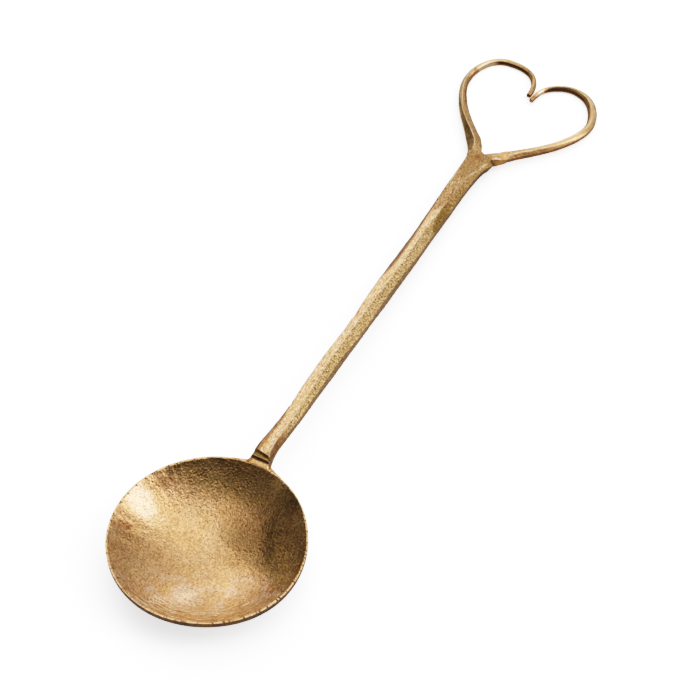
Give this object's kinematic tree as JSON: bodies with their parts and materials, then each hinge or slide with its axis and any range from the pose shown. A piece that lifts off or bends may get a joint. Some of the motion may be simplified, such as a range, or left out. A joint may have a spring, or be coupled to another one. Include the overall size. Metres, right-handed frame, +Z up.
{
  "type": "love spoon",
  "caption": "Hand-forged brass spoon with a round dished bowl, a long faceted bar handle and an end split into curled arms that form an open heart.",
  "frame": {"origin": "centre of the planished flat under the bowl, on the surface that the spoon lies on", "axes": "+X along the handle from the bowl to the heart, +Z up out of the bowl's mouth, +Y to the left of the handle seen from the bowl"},
  "size_m": [0.2607, 0.0599, 0.0133],
  "materials": {
    "bowl_brass": "hand-hammered brass, satin with brown patina in the hollows",
    "bar_brass": "forged brass, pitted and satin, with brown patina on the sides",
    "braze": "rough orange-brown brazing brass"
  },
  "bodies": {
    "root": {"bowl": "bowl_brass", "handle_shank": "bar_brass", "heart_arm_left": "bar_brass", "heart_arm_right": "bar_brass", "neck_braze": "braze"}
  },
  "joints": []
}
